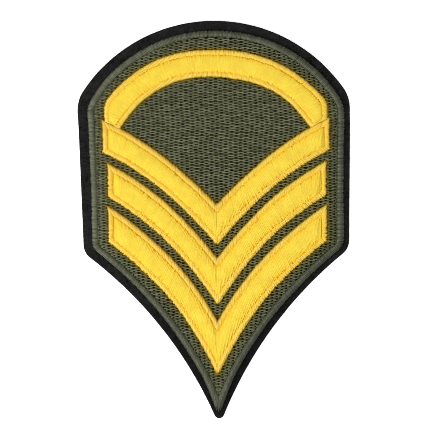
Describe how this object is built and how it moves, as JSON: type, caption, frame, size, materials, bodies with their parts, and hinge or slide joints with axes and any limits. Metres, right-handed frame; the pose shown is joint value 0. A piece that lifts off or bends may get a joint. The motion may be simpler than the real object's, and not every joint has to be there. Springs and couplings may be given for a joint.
{
  "type": "rank chevron patch",
  "caption": "Embroidered rank patch: black felt shield with a round crown, olive stitched ground, gold arch and gold chevrons pointing down to its tip.",
  "frame": {"origin": "middle of the patch's flat back, at the centre of its overall box", "axes": "+Z out of the embroidered face, +Y to the round crown, +X to the right as the face is seen"},
  "size_m": [0.0798, 0.1164, 0.0034],
  "materials": {
    "black_felt": "matte pressed wool felt with a soft fuzz",
    "olive_thread": "rows of short olive machine stitches, slight sheen",
    "olive_satin": "grey-olive satin stitch across the edging, soft sheen",
    "gold_thread": "padded golden yellow satin stitch, bright sheen",
    "gold_satin": "golden yellow satin stitch edging, soft sheen"
  },
  "bodies": {
    "root": {"felt_backing": "black_felt", "ground_fill": "olive_thread", "ground_edging": "olive_satin", "arch_fill": "gold_thread", "arch_edging": "gold_satin", "chevron_upper_fill": "gold_thread", "chevron_upper_edging": "gold_satin", "chevron_middle_fill": "gold_thread", "chevron_middle_edging": "gold_satin", "chevron_lower_fill": "gold_thread", "chevron_lower_edging": "gold_satin"}
  },
  "joints": []
}
